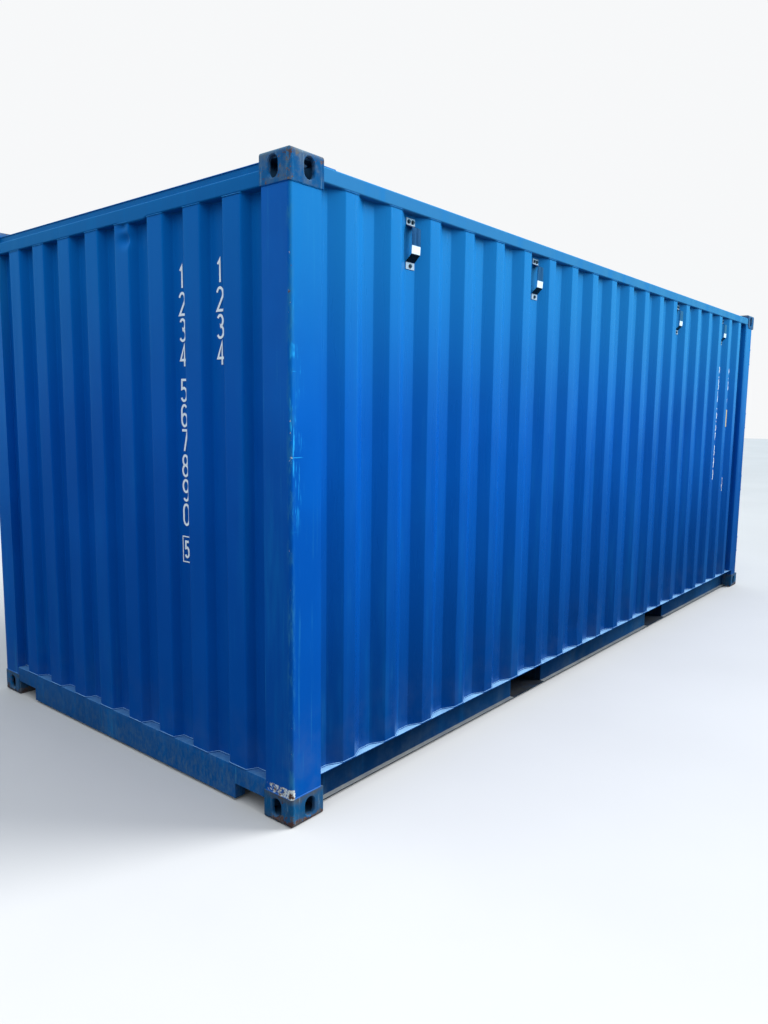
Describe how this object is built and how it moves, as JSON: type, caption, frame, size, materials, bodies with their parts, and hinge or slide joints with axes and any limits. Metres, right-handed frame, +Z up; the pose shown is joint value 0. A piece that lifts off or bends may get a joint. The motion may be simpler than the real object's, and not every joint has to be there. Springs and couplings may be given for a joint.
{
  "type": "shipping container",
  "caption": "Closed steel freight container with corrugated walls, corner castings, fork pockets, lashing straps and double doors.",
  "frame": {"origin": "on the ground under the middle of the box", "axes": "+X from the blind front end to the door end, -Y the left long side, +Y the right long side, +Z up"},
  "size_m": [6.058, 2.438, 2.591],
  "materials": {
    "sheet_paint": "weathered satin blue",
    "frame_paint": "weathered satin blue",
    "casting_steel": "worn paint and rust",
    "underside_steel": "dull underside coating",
    "floor_wood": "worn plywood",
    "seal_rubber": "matt",
    "galvanised_steel": "dull zinc",
    "bright_steel": "bright"
  },
  "bodies": {
    "root": {"casting_bottom_front_left": "casting_steel", "casting_bottom_front_right": "casting_steel", "casting_bottom_rear_left": "casting_steel", "casting_bottom_rear_right": "casting_steel", "casting_top_front_left": "casting_steel", "casting_top_front_right": "casting_steel", "casting_top_rear_left": "casting_steel", "casting_top_rear_right": "casting_steel", "front_post_left": "frame_paint", "front_post_right": "frame_paint", "rear_post_left": "frame_paint", "rear_post_right": "frame_paint", "front_header": "frame_paint", "front_sill": "frame_paint", "door_header": "frame_paint", "door_lintel": "frame_paint", "door_sill": "frame_paint", "door_threshold": "frame_paint", "top_rail_left": "frame_paint", "top_rail_right": "frame_paint", "bottom_rail_left": "frame_paint", "bottom_rail_right": "frame_paint", "bottom_rail_webs": "frame_paint", "front_wall": "sheet_paint", "side_wall_left": "sheet_paint", "side_wall_right": "sheet_paint", "roof_sheet": "sheet_paint", "roof_end_plates": "frame_paint", "floor_boards": "floor_wood", "cross_members": "underside_steel", "fork_pocket_sides": "frame_paint", "fork_pocket_plates": "frame_paint", "door_frame_left": "frame_paint", "door_frame_right": "frame_paint", "door_panel_left": "sheet_paint", "door_panel_right": "sheet_paint", "door_seal_left": "seal_rubber", "door_seal_right": "seal_rubber", "hinges_left": "frame_paint", "hinges_right": "frame_paint", "lock_rods_left": "galvanised_steel", "lock_rods_right": "galvanised_steel", "rod_brackets_left": "frame_paint", "rod_brackets_right": "frame_paint", "cam_keepers": "frame_paint", "strap_brackets_left": "bright_steel", "strap_brackets_right": "bright_steel"}
  },
  "joints": []
}
